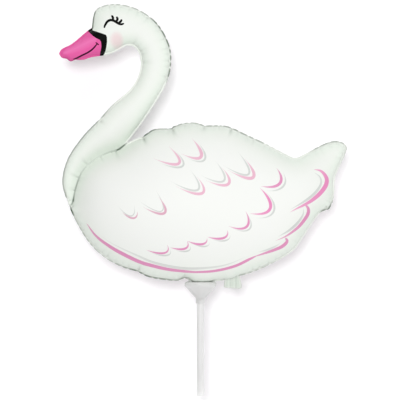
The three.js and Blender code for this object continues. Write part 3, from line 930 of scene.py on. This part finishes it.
def node_material(name, colour, roughness):
    """A material with its node tree and its shader."""
    material = bpy.data.materials.new(name)
    material.use_nodes = True
    shader = material.node_tree.nodes["Principled BSDF"]
    shader.inputs["Base Color"].default_value = (*colour, 1)
    shader.inputs["Roughness"].default_value = roughness
    return material, material.node_tree, shader


def socket(sockets, identifier):
    return next(s for s in sockets if s.identifier == identifier)


def feed(tree, target, value):
    """Joins an output to an input, or sets the input to a plain value."""
    if isinstance(value, bpy.types.NodeSocket):
        tree.links.new(value, target)
    else:
        target.default_value = value


def mixed(tree, factor, first, second, way="MIX"):
    """Two colours mixed by a factor."""
    node = tree.nodes.new("ShaderNodeMix")
    node.data_type = "RGBA"
    node.blend_type = way
    feed(tree, socket(node.inputs, "Factor_Float"), factor)
    feed(tree, socket(node.inputs, "A_Color"), first)
    feed(tree, socket(node.inputs, "B_Color"), second)
    return socket(node.outputs, "Result_Color")


def attribute(tree, name):
    """The outputs of a node that reads a layer of the mesh."""
    node = tree.nodes.new("ShaderNodeAttribute")
    node.attribute_name = name
    return node.outputs


def add_node(tree, kind, **inputs):
    """A new node with its inputs fed. An underscore in an input's name stands for a space."""
    node = tree.nodes.new(kind)
    for name, value in inputs.items():
        feed(tree, node.inputs[name.replace("_", " ")], value)
    return node


def ramp(tree, factor, stops):
    """Colours along a factor: (place, colour) stops."""
    node = tree.nodes.new("ShaderNodeValToRGB")
    feed(tree, node.inputs["Fac"], factor)
    elements = node.color_ramp.elements
    for _ in range(len(stops) - 2):
        elements.new(0.5)
    for element, (place, colour) in zip(elements, stops):
        element.position = place
        element.color = (*colour, 1)
    return node.outputs["Color"]


def noise(tree, scale, detail=2.0):
    """Cloudy noise that is fixed to the piece."""
    place = tree.nodes.new("ShaderNodeTexCoord").outputs["Object"]
    return add_node(tree, "ShaderNodeTexNoise", Vector=place, Scale=scale, Detail=detail).outputs["Fac"]


def mapped(tree, value, low, high):
    """A value from 0 to 1 spread between two others."""
    return add_node(tree, "ShaderNodeMapRange", Value=value, To_Min=low, To_Max=high).outputs["Result"]


MINT = linear(227, 236, 226)
PALE_MINT = linear(230, 235, 228)
FLANGE_PAINTED_HIGHLIGHT = linear(234, 239, 232)
FILM_WHITE = linear(230, 232, 229)
LOW_PAINTED_SHADE = linear(250, 250, 250)
WARM_WHITE = linear(230, 229, 225)
# the green-grey of the painted shade along the welds, creases and tab
PAINTED_SHADE_GREEN = linear(78, 98, 82)
FULL_WHITE = (1, 1, 1)

# The film's colour by how near the edge is: white in the middle, a mint tint towards the rim that is partly
# the foil's own and partly painted reflection, and a painted highlight on the flange. Then the painted shade
# that darkens the film where the filling stands low
EDGE_COLOURS = [(0.03, FILM_WHITE), (0.35, PALE_MINT), (0.6, MINT), (0.8, MINT), (0.84, FLANGE_PAINTED_HIGHLIGHT)]
HEIGHT_PAINTED_SHADE = [(0.34, LOW_PAINTED_SHADE), (0.6, FULL_WHITE)]


def foil_material():
    """White film printed in flat colours, with painted shade and painted highlight, a soft gloss and faint
    ripples.
    """
    material, tree, shader = node_material("printed_foil", FILM_WHITE, roughness=0.3)
    # a mint tint towards the rim, partly the foil's own and partly painted reflection, and a painted
    # highlight on the flange
    film_colour = ramp(tree, attribute(tree, "edge")["Fac"], EDGE_COLOURS)
    # painted shade where the filling stands low: the neck, the head and the tail
    painted_height_shade = ramp(tree, attribute(tree, "fill")["Fac"], HEIGHT_PAINTED_SHADE)
    film_colour = mixed(tree, 1.0, film_colour, painted_height_shade, "MULTIPLY")
    cloud = mapped(tree, noise(tree, scale=22.0), low=0.0, high=0.3)
    film_colour = mixed(tree, cloud, film_colour, (*WARM_WHITE, 1))
    film_colour = mixed(tree, attribute(tree, "blush")["Fac"], film_colour, (*BLUSH, 1))
    ink = attribute(tree, "ink")
    colour = mixed(tree, ink["Alpha"], film_colour, ink["Color"])
    # painted shade along the welds, creases and tab, multiplied over the colour
    colour = mixed(tree, attribute(tree, "painted_shade")["Fac"], colour, (*PAINTED_SHADE_GREEN, 1), "MULTIPLY")
    tree.links.new(colour, shader.inputs["Base Color"])
    gloss = mapped(tree, noise(tree, scale=60.0), low=0.42, high=0.56)
    tree.links.new(gloss, shader.inputs["Roughness"])
    shader.inputs["Specular IOR Level"].default_value = 0.08
    wrinkles = noise(tree, scale=130.0, detail=3.0)
    ripple = add_node(tree, "ShaderNodeBump", Height=wrinkles, Strength=0.25, Distance=0.25 * MM)
    tree.links.new(ripple.outputs["Normal"], shader.inputs["Normal"])
    return material


def plastic(name, colour, roughness, gloss, depth):
    """Frosted plastic that lets light through to a depth."""
    material, tree, shader = node_material(name, colour, roughness)
    shader.inputs["Specular IOR Level"].default_value = gloss
    shader.inputs["Subsurface Weight"].default_value = 1.0
    shader.inputs["Subsurface Radius"].default_value = (1.0, 1.0, 1.0)
    shader.inputs["Subsurface Scale"].default_value = depth
    speckle = noise(tree, scale=900.0)
    grain = add_node(tree, "ShaderNodeBump", Height=speckle, Strength=0.2, Distance=0.05 * MM)
    tree.links.new(grain.outputs["Normal"], shader.inputs["Normal"])
    return material


# The three pieces; the cup and the stick are turned about the stick's axis

LIP_HEIGHT = 4.4 * MM
CONE_HEIGHT = 12.4 * MM
LIP_TURN = 2.2 * MM
CUP_WALL = 1.2 * MM
CUP_ROUNDING = 1.2 * MM
SOCKET_WALL = 0.6 * MM
SOCKET_CLEARANCE = 0.2 * MM
STICK_BORE = 5.6 * MM
STICK_ROUNDING = 0.4 * MM
MOST_ROUNDED = 0.4  # the share of a profile's side that a rounding may take
TURNED_SIDES = 96
# the cup's grey: partly its frosted plastic, partly painted shade from the balloon over it
CUP_GREY_AND_SHADE = linear(214, 214, 213)
STICK_WHITE = linear(230, 230, 229)


def link(name, data):
    """A new object in the scene."""
    piece = bpy.data.objects.new(name, data)
    bpy.context.scene.collection.objects.link(piece)
    return piece


def rounded_profile(corners, radius, steps=4):
    """A closed profile with its corners rounded."""
    corners = [np.array(c) for c in corners]
    points = []
    for before, corner, after in zip(corners[-1:] + corners[:-1], corners, corners[1:] + corners[:1]):
        back, ahead = before - corner, after - corner
        cut = min(radius, MOST_ROUNDED * np.linalg.norm(back), MOST_ROUNDED * np.linalg.norm(ahead))
        start = corner + back / np.linalg.norm(back) * cut
        end = corner + ahead / np.linalg.norm(ahead) * cut
        for t in np.linspace(0, 1, steps):
            points.append((1 - t) ** 2 * start + 2 * t * (1 - t) * corner + t**2 * end)
    return points


def turned(name, profile):
    """A closed ring: a profile of radius and Y turned about the stick's axis."""
    count = len(profile)
    vertices = []
    for side in range(TURNED_SIDES):
        angle = 2 * math.pi * side / TURNED_SIDES
        for radius, y in profile:
            vertices.append((AXIS_X + radius * math.sin(angle), y, SEAM + radius * math.cos(angle)))
    faces = []
    for side in range(TURNED_SIDES):
        here, there = side * count, (side + 1) % TURNED_SIDES * count
        for k in range(count):
            ahead = (k + 1) % count
            faces.append((here + k, here + ahead, there + ahead, there + k))
    mesh = bpy.data.meshes.new(name)
    mesh.from_pydata(vertices, [], faces)
    mesh.polygons.foreach_set("use_smooth", [True] * len(faces))
    return link(name, mesh)


def add_envelope():
    envelope = link("foil_envelope", envelope_mesh())
    envelope.data.materials.append(foil_material())
    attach(envelope, "root")
    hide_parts("balloon_envelope")


def add_cup():
    """The funnel with its rim turned in and a short socket for the stick."""
    rim = (CUP_HIGH.x - CUP_LOW.x) / 2
    bore = (STICK_HIGH.x - STICK_LOW.x) / 2 + SOCKET_CLEARANCE
    cone_top = CUP_HIGH.y - LIP_HEIGHT
    cone_foot = cone_top - CONE_HEIGHT
    mouth = rim - LIP_TURN
    turn = CUP_HIGH.y - LIP_TURN / 2
    corners = [(mouth, CUP_HIGH.y), (mouth - CUP_WALL, CUP_HIGH.y), (rim - CUP_WALL, turn - CUP_WALL),
               (rim - CUP_WALL, cone_top), (bore, cone_foot), (bore, CUP_LOW.y),
               (bore + SOCKET_WALL, CUP_LOW.y), (bore + SOCKET_WALL, cone_foot), (rim, cone_top), (rim, turn)]
    cup = turned("balloon_cup", rounded_profile(corners, CUP_ROUNDING))
    cup.data.materials.append(plastic("frosted_cup", CUP_GREY_AND_SHADE, roughness=0.5, gloss=0.15, depth=2 * MM))
    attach(cup, "root")
    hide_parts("cup")


def add_stick():
    radius = (STICK_HIGH.x - STICK_LOW.x) / 2
    corners = [(radius, STICK_HIGH.y), (STICK_BORE / 2, STICK_HIGH.y), (STICK_BORE / 2, STICK_LOW.y),
               (radius, STICK_LOW.y)]
    stick = turned("balloon_stick", rounded_profile(corners, STICK_ROUNDING))
    stick.data.materials.append(plastic("white_tube", STICK_WHITE, roughness=0.3, gloss=0.4, depth=3 * MM))
    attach(stick, "root")
    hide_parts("stick")


add_envelope()
add_cup()
add_stick()


# The table, the light and the view

TABLE_HALF = 3.0
TABLE_WHITE = (0.96, 0.945, 0.965)
TABLE_GLOW = 0.055
ROOM_LIGHT = 0.56
LIGHT_AIM = (0, 0, 0.05)
LIGHTS = [
    # name, place, size and power
    ("key", (-0.22, 0.36, 2.6), 0.65, 29.5),
    ("softbox", (0.95, -1.25, 1.15), 1.2, 8.6),
    ("back fill", (0.4, 1.5, 1.1), 1.0, 4.6),
]


def add_table():
    """A wide white table that glows faintly, so that it stays as white as the photograph's ground."""
    mesh = bpy.data.meshes.new("table")
    corners = [(x * TABLE_HALF, y * TABLE_HALF, 0) for x, y in ((-1, -1), (1, -1), (1, 1), (-1, 1))]
    mesh.from_pydata(corners, [], [(0, 1, 2, 3)])
    table = link("table", mesh)
    material, _, shader = node_material("table_white", TABLE_WHITE, roughness=0.8)
    shader.inputs["Emission Color"].default_value = (*FULL_WHITE, 1)
    shader.inputs["Emission Strength"].default_value = TABLE_GLOW
    shader.inputs["Specular IOR Level"].default_value = 0.0
    mesh.materials.append(material)


def add_light(name, place, size, power):
    """A square lamp that faces the balloon."""
    light = bpy.data.lights.new(name, "AREA")
    light.shape = "SQUARE"
    light.size = size
    light.energy = power
    lamp = link(name, light)
    lamp.location = place
    lamp.rotation_euler = (Vector(LIGHT_AIM) - Vector(place)).to_track_quat("-Z", "Y").to_euler()


def add_room():
    """Even light from all sides."""
    world = bpy.data.worlds.new("room")
    world.use_nodes = True
    background = world.node_tree.nodes["Background"]
    background.inputs["Color"].default_value = (*FULL_WHITE, 1)
    background.inputs["Strength"].default_value = ROOM_LIGHT
    bpy.context.scene.world = world


def add_camera():
    """The camera above the balloon, with the photograph's frame at the height of the weld."""
    camera = bpy.data.cameras.new("view")
    camera.sensor_width = SENSOR
    camera.lens = SENSOR * CAMERA_HEIGHT / PHOTO_WIDTH
    camera.clip_start = 0.05
    viewer = link("view", camera)
    viewer.location = CAMERA_PLACE
    bpy.context.scene.camera = viewer


add_table()
for parts in LIGHTS:
    add_light(*parts)
add_room()
add_camera()
bpy.context.scene.view_settings.view_transform = "Standard"
